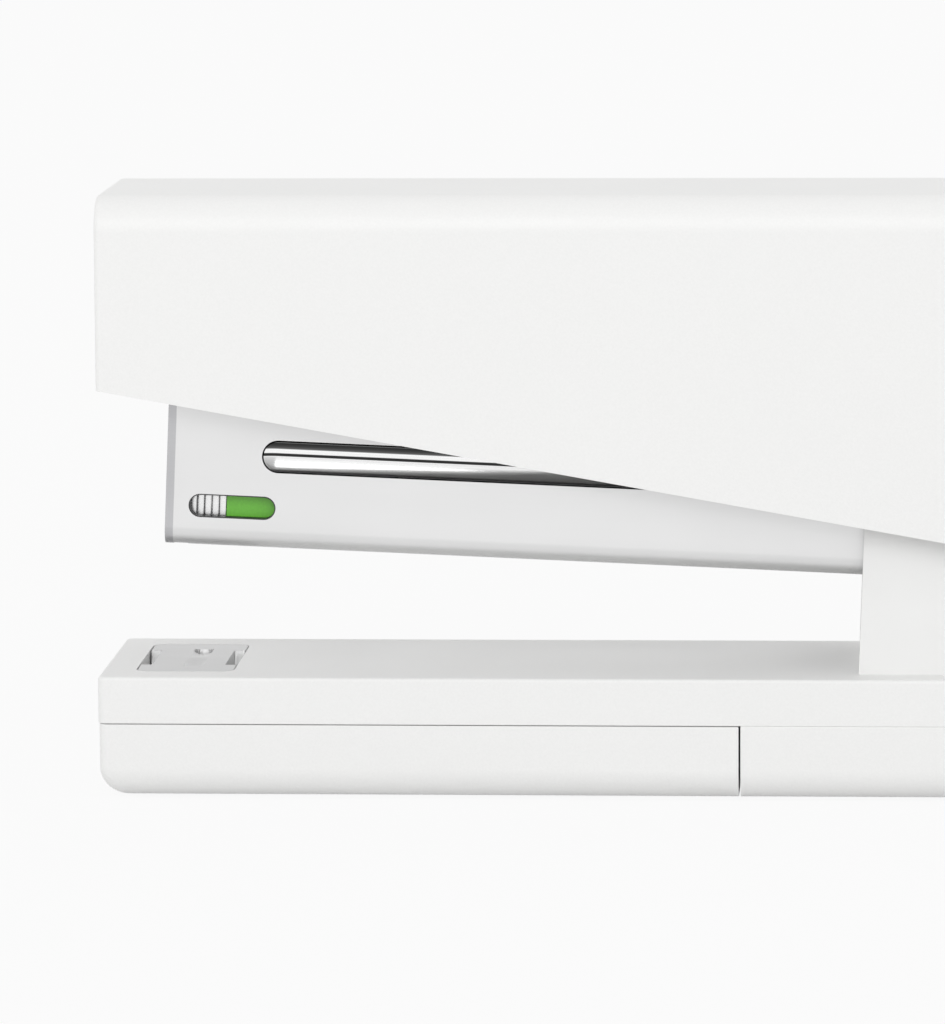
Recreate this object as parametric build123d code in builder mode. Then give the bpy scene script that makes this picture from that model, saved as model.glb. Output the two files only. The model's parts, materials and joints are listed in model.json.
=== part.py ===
"""Manual desktop stapler with a spring-lifted magazine, an opening cover and a staple drawer.

Frame: origin at the bottom centre of the whole stapler, -X towards the nose, +Z up, millimetres.
The magazine is drawn in its own frame: u runs back from the nose, w up from its underside.
"""

import os
from math import atan2, cos, degrees, radians, sin, sqrt, tan

from build123d import *

os.makedirs("parts", exist_ok=True)

# Overall size
LENGTH = 152.4
WIDTH = 26.5
HEIGHT = 61.0
FRONT = -LENGTH / 2
REAR = LENGTH / 2
HALF_WIDTH = WIDTH / 2
GAP = 0.2                      # upright seam between drawer and rear cover
SLIDE_GAP = 0.08               # level seam between drawer and slab
WALL = 2.0                     # moulded walls

# Base
DRAWER_FRONT = FRONT + 0.1
SLAB_TOP = 12.5
SLAB_UNDERSIDE = 7.75
FOOT = 0.15                    # how far the pads stand proud of the base
SEAM_X = -11.5                 # vertical seam between drawer and rear cover
PLAN_CORNER = 0.8
SEAM_ROUND = 0.1
TOP_ROUND = 0.35
LOWER_ROUND = 3.1
FLOOR_TOP = 2.1                # inside of the lower shells
INNER_HALF = HALF_WIDTH - WALL
PLATE_TOP = 10.1               # steel stiffener
PLATE_THICKNESS = 1.2
PLATE_LIMITS = (-8.0, 72.5)
PLATE_HALF = 10.25
PLATE_CORNER = 2.0
POCKET_ROOM = 0.5              # room round the stiffener, and round each pad
PAD_THICKNESS = FOOT + 0.7
PAD_HALF = 8.3
PAD_CORNER = 1.5
PAD_ROOM = 0.2
REAR_PAD = (8.2, 59.8)
DRAWER_PAD = (-65.8, -22.2)

# Anvil plate and its recess
ANVIL_X = -67.8
ANVIL_LENGTH = 9.8
ANVIL_WIDTH = 18.3
ANVIL_THICKNESS = 1.6
ANVIL_CORNER = 1.5
ANVIL_GAP = 0.12
POCKET_WIDTH = 2.25
POCKET_RADIUS = 5.0
POCKET_OFFSET = 3.4
POCKET_DEPTH = 1.0
NOTCH_DEPTH = 1.1
NOTCH_LENGTH = 9.3

# Hinge
PIVOT_X = 64.0
PIVOT_Z = 24.5
PIN_RADIUS = 2.0
RUNNING_GAP = 0.05
PIN_HALF_LENGTH = 11.15
REST_TILT = 2.5                # magazine, nose up
STROKE_TILT = 3.37             # cover relative to the magazine, rest to end of stroke

# Hinge bracket
BRACKET_FRONT = 0.43
BRACKET_LEAN = 2.1
BRACKET_HALF = 9.65
BRACKET_SHEET = 1.45
BRACKET_TOP = 33.5
EAR_RADIUS = 8.0
BRACKET_ROUND = 1.5            # bends at the top of the bracket
STOP_PIN_X = 70.0
STOP_PIN_Z = 17.55
STOP_PIN_RADIUS = 1.5
CLIP_GROOVE = (5.4, 6.0)       # clip grooves in the pivot pin, |Y|
LIFT_SPRING_X = 14.0
LIFT_SPRING_TOP = 21.4
LIFT_SPRING_RADII = (2.4, 3.2)

# Magazine, in its own frame
NOSE_REACH = 133.73            # pivot to nose front
PIVOT_RISE = 5.08              # pivot above the underside
TAIL = 7.0                     # channel behind the pivot
CHANNEL_HALF = 7.9
CHANNEL_SHEET = 1.2
CHANNEL_FLOOR = 1.2
CHANNEL_HEIGHT = 17.4
CHANNEL_CORNER = 1.9
CHANNEL_INNER_CORNER = 0.7
NOSE_THICKNESS = 0.83
WINDOW_START = 2.35
WINDOW_END = 11.17
WINDOW_HEIGHT = 2.36
WINDOW_RISE = 4.18
GROOVE_START = 9.79
GROOVE_END = 96.25
GROOVE_HEIGHT = 3.0
GROOVE_DEPTH = 0.5
GROOVE_RISE = 9.48
BLOCK_START = 112.0            # rail end block
BLOCK_END = 127.0
BLOCK_TOP = 14.4
BUSH_RADIUS = 3.0

# Staples and what carries them
STAPLE_COUNT = 5
STAPLE_PITCH = 0.756
STAPLE_WIRE = 0.72
STAPLE_SHEET = 0.5
STAPLE_HALF = 6.45
STAPLE_BOTTOM = 1.6
STAPLE_TOP = 7.6
STAPLE_BEND = 0.6
FIRST_STAPLE = 2.32
RAIL_START = 1.9
RAIL_HALF = 5.7
RAIL_SHEET = 0.8
RAIL_TOP = 7.05
SLOT_HALF = 1.3
ROD_RADIUS = 1.0
ROD_RISE = 3.8
ROD_SOCKET = 4.5               # depth of the rod's hole in the end block
FOLLOWER_START = FIRST_STAPLE + STAPLE_COUNT * STAPLE_PITCH
FOLLOWER_LENGTH = 18.0
FOLLOWER_TRAVEL = 72.0
FOLLOWER_CROWN = 1.4           # how far the follower stands over the staples
FOLLOWER_SPRING_RADII = (1.3, 2.0)
HUB_START = 9.6
HUB_END = 14.0
HUB_RADIUS = 2.2

# Cover and press frame
COVER_FRONT = -76.0
COVER_REAR = 75.5
COVER_EDGE_FRONT = 41.5        # height of the lower edge at the nose
COVER_EDGE_DROP = 10.13        # slope of the lower edge, degrees
COVER_TOP_ROUND = 3.6
COVER_EDGE_ROUND = 0.45
COVER_TAIL_RADIUS = 11.5       # rear lower corner, round the pivot
COVER_DOOR_HEIGHT = 32.5       # the rear wall ends here, so that the cover can swing
FRAME_UNDERSIDE = 50.9
FRAME_SHEET = 1.2
FRAME_FRONT = -72.0
FRAME_REAR = 72.0
FRAME_HALF = 10.95
FRAME_SIDE = 1.0
FRAME_EAR_RADIUS = 6.0
FRAME_WAIST = (12.0, 44.5)     # where the flange's lower edge turns down to the pivot
FRAME_FRONT_Z = 47.0
FRAME_REAR_Z = 46.5
BLADE_HALF = 6.3
BLADE_START = 1.0
BLADE_THICKNESS = 0.5
BLADE_END = -0.1               # tip at the end of the stroke, below the underside
TAB_END = -54.0
TAB_THICKNESS = 1.0
RIVET_RADIUS = 1.0
RIVET_HEAD_RADIUS = 1.7
RIVET_HEAD = 0.6
LEAF_SHEET = 0.5               # return spring
LEAF_HALF = 4.0
LEAF_FLAT = (29.0, 41.0)
LEAF_BEND = 1.8
LEAF_GAP = 1.2                  # room under the leaf, so that the stroke stays clear

# Staple drawer and the rails that carry it
RAIL_LEG = (7.9, 9.2)          # drawer rail leg, |Y|
RAIL_LIP = 10.9
RAIL_BOTTOM = 5.6
LIP_THICKNESS = 0.7
DRAWER_LIP = 9.6
DRAWER_TOP = SLAB_UNDERSIDE - SLIDE_GAP
DRAWER_BACK_TOP = 5.3
HANGER_LIMITS = (FRONT + 5.3, -14.0)
CATCH_X = -61.0
CATCH_RADIUS = 1.6

SCREW_RADIUS = 1.45
HEAD_RADIUS = 2.5
HEAD_HEIGHT = 1.5
DRIVE_SLOT = 0.7               # cross slots in the screw heads: width, length, depth
DRIVE_LENGTH = 3.2
DRIVE_DEPTH = 0.7
ANVIL_SCREW_RADIUS = 1.25
COVER_SCREW_RADIUS = 1.2
CHANNEL_RIVET_RADIUS = 1.2


def tilted_frame(tilt):
    """Plane at the nose's underside with x back along a magazine tilted by tilt, and z up from it."""
    angle = radians(tilt)
    along = Vector(cos(angle), 0, -sin(angle))
    up = Vector(sin(angle), 0, cos(angle))
    nose = Vector(PIVOT_X, 0, PIVOT_Z) - along * NOSE_REACH - up * PIVOT_RISE
    return Plane(origin=nose, x_dir=along, z_dir=up)


def section_plane(frame, u):
    """Plane across a tilted frame at u, with x along Y and y up, facing the rear."""
    origin = frame.from_local_coords(Vector(u, 0, 0))
    return Plane(origin=origin, x_dir=(0, 1, 0), z_dir=frame.x_dir)


def side_plane(frame):
    """Plane along a tilted frame's middle, with x = u and y = w."""
    return Plane(origin=frame.origin, x_dir=frame.x_dir, z_dir=(0, -1, 0))


def block(x_limits, y_limits, z_limits, mode=Mode.ADD):
    """Box between two limits on each axis of the current frame."""
    middle = [(low + high) / 2 for low, high in (x_limits, y_limits, z_limits)]
    size = [high - low for low, high in (x_limits, y_limits, z_limits)]
    with Locations(Vector(*middle)):
        Box(*size, mode=mode)


def upright(radius, z_limits, mode=Mode.ADD):
    """Vertical cylinder between two heights, at the current location."""
    low, high = z_limits
    with Locations((0, 0, (low + high) / 2)):
        Cylinder(radius, high - low, mode=mode)


def crosswise(radius, x, z, y_limits, mode=Mode.ADD):
    """Cylinder along Y between two limits, its axis at x and z."""
    low, high = y_limits
    with Locations((x, (low + high) / 2, z)):
        Cylinder(radius, high - low, rotation=(90, 0, 0), mode=mode)


def lengthwise(radius, x_limits, z, mode=Mode.ADD):
    """Cylinder along the current frame's x, on its middle, at height z."""
    low, high = x_limits
    with Locations(((low + high) / 2, 0, z)):
        Cylinder(radius, high - low, rotation=(0, 90, 0), mode=mode)


def mirrored(low, high):
    """The same pair of limits on both sides of the middle plane."""
    return (low, high), (-high, -low)


def cross_slots(places, height):
    """Cross slots for a screwdriver, cut round a screw head's face at some height."""
    for x, y in places:
        with Locations((x, y, height)):
            Box(DRIVE_SLOT, DRIVE_LENGTH, 2 * DRIVE_DEPTH, mode=Mode.SUBTRACT)
            Box(DRIVE_LENGTH, DRIVE_SLOT, 2 * DRIVE_DEPTH, mode=Mode.SUBTRACT)


def pad_recess(limits):
    """Recess in a lower shell for the pad between these limits, with a little room round it."""
    low, high = limits
    room = PAD_HALF + PAD_ROOM
    block((low - PAD_ROOM, high + PAD_ROOM), (-room, room), (FOOT, PAD_THICKNESS), mode=Mode.SUBTRACT)


magazine_frame = tilted_frame(REST_TILT)
blade_frame = tilted_frame(REST_TILT + STROKE_TILT)

BRACKET_SCREWS = [(x, y) for x in (27.0, 50.0) for y in (-5.0, 5.0)]
BASE_COVER_SCREWS = [(x, y) for x in (0.0, 69.0) for y in (-7.5, 7.5)]
COVER_SCREWS = [(-45.0, 0.0), (10.0, 0.0), (62.0, 0.0)]
FRAME_RIVETS = [(-58.0, -4.0), (-58.0, 4.0), (32.5, 0.0), (37.5, 0.0)]
CHANNEL_RIVETS = [(118.5, 4.7), (122.5, 10.3)]

# ---------------------------------------------------------------- base

with BuildPart() as base_slab:
    with BuildSketch(Plane.XY.offset(SLAB_UNDERSIDE)):
        RectangleRounded(LENGTH, WIDTH, PLAN_CORNER)
    extrude(amount=SLAB_TOP - SLAB_UNDERSIDE)
    fillet(base_slab.faces().sort_by(Axis.Z)[-1].edges(), TOP_ROUND)
    fillet(base_slab.faces().sort_by(Axis.Z)[0].edges(), SEAM_ROUND)
    # pocket for the stiffener plate
    room = PLATE_HALF + POCKET_ROOM
    block(
        (PLATE_LIMITS[0] - 1.0, PLATE_LIMITS[1] + 1.0),
        (-room, room),
        (SLAB_UNDERSIDE, PLATE_TOP),
        mode=Mode.SUBTRACT,
    )
    # recess for the anvil plate, and its screw hole with a counterbore from below
    with BuildSketch(Plane.XY.offset(SLAB_TOP)):
        with Locations((ANVIL_X, 0)):
            RectangleRounded(
                ANVIL_LENGTH + 2 * ANVIL_GAP, ANVIL_WIDTH + 2 * ANVIL_GAP, ANVIL_CORNER + ANVIL_GAP
            )
    extrude(amount=-ANVIL_THICKNESS, mode=Mode.SUBTRACT)
    with Locations((ANVIL_X, 0, 0)):
        upright(ANVIL_SCREW_RADIUS, (SLAB_UNDERSIDE, SLAB_TOP), mode=Mode.SUBTRACT)
        upright(HEAD_RADIUS + 0.2, (SLAB_UNDERSIDE, SLAB_UNDERSIDE + 1.6), mode=Mode.SUBTRACT)
    with Locations(*BRACKET_SCREWS):
        upright(SCREW_RADIUS, (PLATE_TOP, SLAB_TOP), mode=Mode.SUBTRACT)
    # hanging rails that carry the drawer
    for leg, lip in zip(mirrored(*RAIL_LEG), mirrored(RAIL_LEG[0], RAIL_LIP)):
        block(HANGER_LIMITS, leg, (RAIL_BOTTOM, SLAB_UNDERSIDE + 0.5))
        block(HANGER_LIMITS, lip, (RAIL_BOTTOM, RAIL_BOTTOM + LIP_THICKNESS))
base_slab.part.label = "base_slab"
export_step(base_slab.part, "parts/base_slab.step")

with BuildPart() as stiffener_plate:
    block(PLATE_LIMITS, (-PLATE_HALF, PLATE_HALF), (PLATE_TOP - PLATE_THICKNESS, PLATE_TOP))
    fillet(stiffener_plate.edges().filter_by(Axis.Z), PLATE_CORNER)
    with Locations(*BRACKET_SCREWS, *BASE_COVER_SCREWS):
        upright(SCREW_RADIUS, (PLATE_TOP - PLATE_THICKNESS, PLATE_TOP), mode=Mode.SUBTRACT)
stiffener_plate.part.label = "stiffener_plate"
export_step(stiffener_plate.part, "parts/stiffener_plate.step")

with BuildPart() as anvil_plate:
    with BuildSketch(Plane.XY.offset(SLAB_TOP - ANVIL_THICKNESS)):
        with Locations((ANVIL_X, 0)):
            RectangleRounded(ANVIL_LENGTH, ANVIL_WIDTH, ANVIL_CORNER)
    extrude(amount=ANVIL_THICKNESS)
    # two curved pockets that turn the staple's legs inwards
    with BuildSketch(Plane.YZ.offset(ANVIL_X)):
        for side in (-1, 1):
            with Locations((side * POCKET_OFFSET, SLAB_TOP - POCKET_DEPTH + POCKET_RADIUS)):
                Circle(POCKET_RADIUS)
    extrude(amount=POCKET_WIDTH / 2, both=True, mode=Mode.SUBTRACT)
    # notches in both long edges, for lifting the plate out
    with Locations((ANVIL_X - ANVIL_LENGTH / 2, 0), (ANVIL_X + ANVIL_LENGTH / 2, 0)):
        block(
            (-NOTCH_DEPTH, NOTCH_DEPTH),
            (-NOTCH_LENGTH / 2, NOTCH_LENGTH / 2),
            (SLAB_TOP - ANVIL_THICKNESS, SLAB_TOP),
            mode=Mode.SUBTRACT,
        )
    with Locations((ANVIL_X, 0, 0)):
        upright(ANVIL_SCREW_RADIUS, (SLAB_TOP - ANVIL_THICKNESS, SLAB_TOP - 0.7), mode=Mode.SUBTRACT)
anvil_plate.part.label = "anvil_plate"
export_step(anvil_plate.part, "parts/anvil_plate.step")

with BuildPart() as anvil_screw:
    with Locations((ANVIL_X, 0, 0)):
        upright(HEAD_RADIUS, (SLAB_UNDERSIDE + 0.2, SLAB_UNDERSIDE + 1.6))
        upright(ANVIL_SCREW_RADIUS, (SLAB_UNDERSIDE + 0.8, SLAB_TOP - 0.7))
    cross_slots([(ANVIL_X, 0)], SLAB_UNDERSIDE + 0.2)
anvil_screw.part.label = "anvil_screw"
export_step(anvil_screw.part, "parts/anvil_screw.step")

with BuildPart() as rear_base_cover:
    with BuildSketch(Plane.XY.offset(FOOT)):
        with Locations(((SEAM_X + GAP / 2 + REAR) / 2, 0)):
            Rectangle(REAR - SEAM_X - GAP / 2, WIDTH)
    extrude(amount=SLAB_UNDERSIDE - FOOT)
    fillet(rear_base_cover.edges().filter_by(Axis.Z).group_by(Axis.X)[-1], PLAN_CORNER)
    fillet(rear_base_cover.edges().group_by(Axis.Z)[0].filter_by(Axis.X), LOWER_ROUND)
    fillet(rear_base_cover.faces().sort_by(Axis.Z)[-1].edges(), SEAM_ROUND)
    block(
        (SEAM_X + GAP / 2 + WALL, REAR - WALL),
        (-INNER_HALF, INNER_HALF),
        (FLOOR_TOP, SLAB_UNDERSIDE),
        mode=Mode.SUBTRACT,
    )
    with Locations(*BASE_COVER_SCREWS):
        upright(3.1, (FLOOR_TOP - 0.5, PLATE_TOP - PLATE_THICKNESS))
        upright(HEAD_RADIUS + 0.2, (FOOT, FOOT + 2.6), mode=Mode.SUBTRACT)
        upright(SCREW_RADIUS, (FOOT, PLATE_TOP), mode=Mode.SUBTRACT)
    pad_recess(REAR_PAD)
rear_base_cover.part.label = "rear_base_cover"
export_step(rear_base_cover.part, "parts/rear_base_cover.step")

with BuildPart() as rear_foot_pad:
    block(REAR_PAD, (-PAD_HALF, PAD_HALF), (0, PAD_THICKNESS))
    fillet(rear_foot_pad.edges().filter_by(Axis.Z), PAD_CORNER)
rear_foot_pad.part.label = "rear_foot_pad"
export_step(rear_foot_pad.part, "parts/rear_foot_pad.step")

with BuildPart() as base_cover_screws:
    with Locations(*BASE_COVER_SCREWS):
        upright(HEAD_RADIUS, (FOOT + 1.1, FOOT + 2.6))
        upright(SCREW_RADIUS, (FOOT + 2.0, PLATE_TOP))
    cross_slots(BASE_COVER_SCREWS, FOOT + 1.1)
base_cover_screws.part.label = "base_cover_screws"
export_step(base_cover_screws.part, "parts/base_cover_screws.step")

# ---------------------------------------------------------------- hinge

with BuildPart() as hinge_bracket:
    lean = (BRACKET_TOP - SLAB_TOP) * tan(radians(BRACKET_LEAN))
    with BuildSketch(Plane.XZ):
        with BuildLine():
            Line((BRACKET_FRONT, SLAB_TOP), (BRACKET_FRONT + lean, BRACKET_TOP))
            Line((BRACKET_FRONT + lean, BRACKET_TOP), (PIVOT_X, PIVOT_Z + EAR_RADIUS))
            CenterArc((PIVOT_X, PIVOT_Z), EAR_RADIUS, 0, 90)
            Line((PIVOT_X + EAR_RADIUS, PIVOT_Z), (PIVOT_X + EAR_RADIUS, SLAB_TOP))
            Line((PIVOT_X + EAR_RADIUS, SLAB_TOP), (BRACKET_FRONT, SLAB_TOP))
        make_face()
    extrude(amount=BRACKET_HALF, both=True)
    fillet(hinge_bracket.edges().filter_by(Axis.Y).group_by(Axis.Z)[-1], BRACKET_ROUND)
    inside = BRACKET_HALF - BRACKET_SHEET
    block(
        (BRACKET_FRONT - 1.0, REAR), (-inside, inside), (SLAB_TOP + BRACKET_SHEET, HEIGHT), mode=Mode.SUBTRACT
    )
    crosswise(PIN_RADIUS, PIVOT_X, PIVOT_Z, (-HALF_WIDTH, HALF_WIDTH), mode=Mode.SUBTRACT)
    crosswise(STOP_PIN_RADIUS, STOP_PIN_X, STOP_PIN_Z, (-HALF_WIDTH, HALF_WIDTH), mode=Mode.SUBTRACT)
    with Locations(*BRACKET_SCREWS):
        upright(SCREW_RADIUS, (SLAB_TOP, SLAB_TOP + BRACKET_SHEET), mode=Mode.SUBTRACT)
hinge_bracket.part.label = "hinge_bracket"
export_step(hinge_bracket.part, "parts/hinge_bracket.step")

with BuildPart() as bracket_screws:
    seat = SLAB_TOP + BRACKET_SHEET
    with Locations(*BRACKET_SCREWS):
        upright(HEAD_RADIUS, (seat, seat + HEAD_HEIGHT))
        upright(SCREW_RADIUS, (PLATE_TOP - PLATE_THICKNESS, seat))
    cross_slots(BRACKET_SCREWS, seat + HEAD_HEIGHT)
bracket_screws.part.label = "bracket_screws"
export_step(bracket_screws.part, "parts/bracket_screws.step")

with BuildPart() as pivot_pin:
    crosswise(PIN_RADIUS, PIVOT_X, PIVOT_Z, (-PIN_HALF_LENGTH, PIN_HALF_LENGTH))
    chamfer(pivot_pin.edges().filter_by(GeomType.CIRCLE), 0.3)
    with BuildSketch(Plane.XZ.offset(-CLIP_GROOVE[1]), Plane.XZ.offset(CLIP_GROOVE[0])):
        with Locations((PIVOT_X, PIVOT_Z)):
            Circle(PIN_RADIUS + 0.5)
            Circle(PIN_RADIUS - 0.5, mode=Mode.SUBTRACT)
    extrude(amount=CLIP_GROOVE[1] - CLIP_GROOVE[0], mode=Mode.SUBTRACT)
pivot_pin.part.label = "pivot_pin"
export_step(pivot_pin.part, "parts/pivot_pin.step")

with BuildPart() as pivot_clips:
    with BuildSketch(Plane.XZ.offset(-CLIP_GROOVE[1]), Plane.XZ.offset(CLIP_GROOVE[0])):
        with Locations((PIVOT_X, PIVOT_Z)):
            Circle(PIN_RADIUS + 1.4)
            Circle(PIN_RADIUS - 0.5, mode=Mode.SUBTRACT)
        with Locations((PIVOT_X, PIVOT_Z - PIN_RADIUS)):
            Rectangle(2.2, 2 * PIN_RADIUS, mode=Mode.SUBTRACT)
    extrude(amount=CLIP_GROOVE[1] - CLIP_GROOVE[0])
pivot_clips.part.label = "pivot_clips"
export_step(pivot_clips.part, "parts/pivot_clips.step")

with BuildPart() as stop_pin:
    crosswise(STOP_PIN_RADIUS, STOP_PIN_X, STOP_PIN_Z, (-BRACKET_HALF, BRACKET_HALF))
    chamfer(stop_pin.edges().filter_by(GeomType.CIRCLE), 0.2)
stop_pin.part.label = "stop_pin"
export_step(stop_pin.part, "parts/stop_pin.step")

with BuildPart() as lift_spring:
    inner, outer = LIFT_SPRING_RADII
    with Locations((LIFT_SPRING_X, 0, 0)):
        upright(outer, (SLAB_TOP + BRACKET_SHEET, LIFT_SPRING_TOP))
        upright(inner, (SLAB_TOP + BRACKET_SHEET, LIFT_SPRING_TOP), mode=Mode.SUBTRACT)
lift_spring.part.label = "lift_spring"
export_step(lift_spring.part, "parts/lift_spring.step")

# ---------------------------------------------------------------- magazine

with BuildPart(magazine_frame) as magazine_channel:
    tail = NOSE_REACH + TAIL
    with BuildSketch(section_plane(magazine_frame, NOSE_THICKNESS)) as outline:
        with Locations((0, CHANNEL_HEIGHT / 2)):
            Rectangle(2 * CHANNEL_HALF, CHANNEL_HEIGHT)
        fillet(outline.vertices().group_by(Axis.Y)[0], CHANNEL_CORNER)
    extrude(amount=tail - NOSE_THICKNESS)
    with BuildSketch(section_plane(magazine_frame, NOSE_THICKNESS)) as hollow:
        with Locations((0, CHANNEL_FLOOR + CHANNEL_HEIGHT / 2)):
            Rectangle(2 * (CHANNEL_HALF - CHANNEL_SHEET), CHANNEL_HEIGHT)
        fillet(hollow.vertices().group_by(Axis.Y)[0], CHANNEL_INNER_CORNER)
    extrude(amount=tail - NOSE_THICKNESS, mode=Mode.SUBTRACT)
    # throat that the staple leaves through
    inside = CHANNEL_HALF - CHANNEL_SHEET
    block((0, FIRST_STAPLE), (-inside, inside), (-1.0, CHANNEL_FLOOR + 1.0), mode=Mode.SUBTRACT)
    with BuildSketch(side_plane(magazine_frame)):
        with Locations(((WINDOW_START + WINDOW_END) / 2, WINDOW_RISE)):
            SlotOverall(WINDOW_END - WINDOW_START, WINDOW_HEIGHT)
        with Locations(*CHANNEL_RIVETS):
            Circle(CHANNEL_RIVET_RADIUS)
        with Locations((NOSE_REACH, PIVOT_RISE)):
            Circle(BUSH_RADIUS)
    extrude(amount=HALF_WIDTH, both=True, mode=Mode.SUBTRACT)
    # coined groove along each side, a round-ended trough
    half = GROOVE_HEIGHT / 2
    trough = (half**2 + GROOVE_DEPTH**2) / (2 * GROOVE_DEPTH)
    for side in (-1, 1):
        with Locations((0, side * (CHANNEL_HALF + trough - GROOVE_DEPTH), 0)):
            lengthwise(trough, (GROOVE_START + half, GROOVE_END - half), GROOVE_RISE, mode=Mode.SUBTRACT)
            with Locations((GROOVE_START + half, 0, GROOVE_RISE), (GROOVE_END - half, 0, GROOVE_RISE)):
                Sphere(trough, mode=Mode.SUBTRACT)
magazine_channel.part.label = "magazine_channel"
export_step(magazine_channel.part, "parts/magazine_channel.step")

with BuildPart(magazine_frame) as nose_plate:
    with BuildSketch(section_plane(magazine_frame, 0)) as outline:
        with Locations((0, CHANNEL_HEIGHT / 2)):
            Rectangle(2 * CHANNEL_HALF, CHANNEL_HEIGHT)
        fillet(outline.vertices().group_by(Axis.Y)[0], CHANNEL_CORNER)
        fillet(outline.vertices().group_by(Axis.Y)[-1], 1.0)
    extrude(amount=NOSE_THICKNESS)
nose_plate.part.label = "nose_plate"
export_step(nose_plate.part, "parts/nose_plate.step")

with BuildPart(magazine_frame) as staple_rail:
    inner = RAIL_HALF - RAIL_SHEET
    with BuildSketch(section_plane(magazine_frame, RAIL_START)) as outline:
        with Locations((0, (CHANNEL_FLOOR + RAIL_TOP) / 2)):
            Rectangle(2 * RAIL_HALF, RAIL_TOP - CHANNEL_FLOOR)
        fillet(outline.vertices().group_by(Axis.Y)[-1], 0.7)
    extrude(amount=BLOCK_START - RAIL_START)
    block(
        (RAIL_START + RAIL_SHEET, BLOCK_START),
        (-inner, inner),
        (CHANNEL_FLOOR, RAIL_TOP - RAIL_SHEET),
        mode=Mode.SUBTRACT,
    )
    block(
        (HUB_START - 1.0, HUB_END + FOLLOWER_TRAVEL + 1.0),
        (-SLOT_HALF, SLOT_HALF),
        (RAIL_TOP - 2 * RAIL_SHEET, RAIL_TOP),
        mode=Mode.SUBTRACT,
    )
    lengthwise(ROD_RADIUS, (0, RAIL_START + 2 * RAIL_SHEET), ROD_RISE, mode=Mode.SUBTRACT)
staple_rail.part.label = "staple_rail"
export_step(staple_rail.part, "parts/staple_rail.step")

with BuildPart() as staple_strip:
    for index in range(STAPLE_COUNT):
        with BuildSketch(section_plane(magazine_frame, FIRST_STAPLE + index * STAPLE_PITCH)) as outline:
            with Locations((0, (STAPLE_BOTTOM + STAPLE_TOP) / 2)):
                Rectangle(2 * STAPLE_HALF, STAPLE_TOP - STAPLE_BOTTOM)
            fillet(outline.vertices().group_by(Axis.Y)[-1], STAPLE_BEND)
            with Locations((0, (STAPLE_BOTTOM + STAPLE_TOP) / 2 - STAPLE_SHEET)):
                Rectangle(
                    2 * (STAPLE_HALF - STAPLE_SHEET), STAPLE_TOP - STAPLE_BOTTOM, mode=Mode.SUBTRACT
                )
        extrude(amount=STAPLE_WIRE)
staple_strip.part.label = "staple_strip"
export_step(staple_strip.part, "parts/staple_strip.step")

with BuildPart(magazine_frame) as guide_rod:
    lengthwise(ROD_RADIUS, (RAIL_START, BLOCK_START + ROD_SOCKET), ROD_RISE)
guide_rod.part.label = "guide_rod"
export_step(guide_rod.part, "parts/guide_rod.step")

with BuildPart(magazine_frame) as follower_spring:
    inner, outer = FOLLOWER_SPRING_RADII
    lengthwise(outer, (HUB_END + RUNNING_GAP, BLOCK_START), ROD_RISE)
    lengthwise(inner, (HUB_END + RUNNING_GAP, BLOCK_START), ROD_RISE, mode=Mode.SUBTRACT)
follower_spring.part.label = "follower_spring"
export_step(follower_spring.part, "parts/follower_spring.step")

with BuildPart(magazine_frame) as rail_end_block:
    inside = CHANNEL_HALF - CHANNEL_SHEET
    block((BLOCK_START, BLOCK_END), (-inside, inside), (CHANNEL_FLOOR, BLOCK_TOP))
    lower_edges = rail_end_block.edges().filter_by(Axis(magazine_frame.origin, magazine_frame.x_dir))
    fillet(lower_edges.sort_by(Axis.Z)[:2], CHANNEL_INNER_CORNER)
    lengthwise(ROD_RADIUS, (BLOCK_START, BLOCK_START + ROD_SOCKET), ROD_RISE, mode=Mode.SUBTRACT)
    with BuildSketch(side_plane(magazine_frame)):
        with Locations(*CHANNEL_RIVETS):
            Circle(CHANNEL_RIVET_RADIUS)
    extrude(amount=HALF_WIDTH, both=True, mode=Mode.SUBTRACT)
rail_end_block.part.label = "rail_end_block"
export_step(rail_end_block.part, "parts/rail_end_block.step")

with BuildPart() as channel_rivets:
    with BuildSketch(side_plane(magazine_frame)):
        with Locations(*CHANNEL_RIVETS):
            Circle(CHANNEL_RIVET_RADIUS)
    extrude(amount=CHANNEL_HALF, both=True)
channel_rivets.part.label = "channel_rivets"
export_step(channel_rivets.part, "parts/channel_rivets.step")

with BuildPart() as magazine_bushes:
    for low, high in mirrored(CHANNEL_HALF - CHANNEL_SHEET, CHANNEL_HALF):
        crosswise(BUSH_RADIUS, PIVOT_X, PIVOT_Z, (low, high))
    for low, high in mirrored(CHANNEL_HALF - CHANNEL_SHEET - 0.6, CHANNEL_HALF - CHANNEL_SHEET):
        crosswise(BUSH_RADIUS - 0.35, PIVOT_X, PIVOT_Z, (low, high))
    crosswise(PIN_RADIUS + RUNNING_GAP, PIVOT_X, PIVOT_Z, (-HALF_WIDTH, HALF_WIDTH), mode=Mode.SUBTRACT)
magazine_bushes.part.label = "magazine_bushes"
export_step(magazine_bushes.part, "parts/magazine_bushes.step")

# ---------------------------------------------------------------- follower

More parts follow.
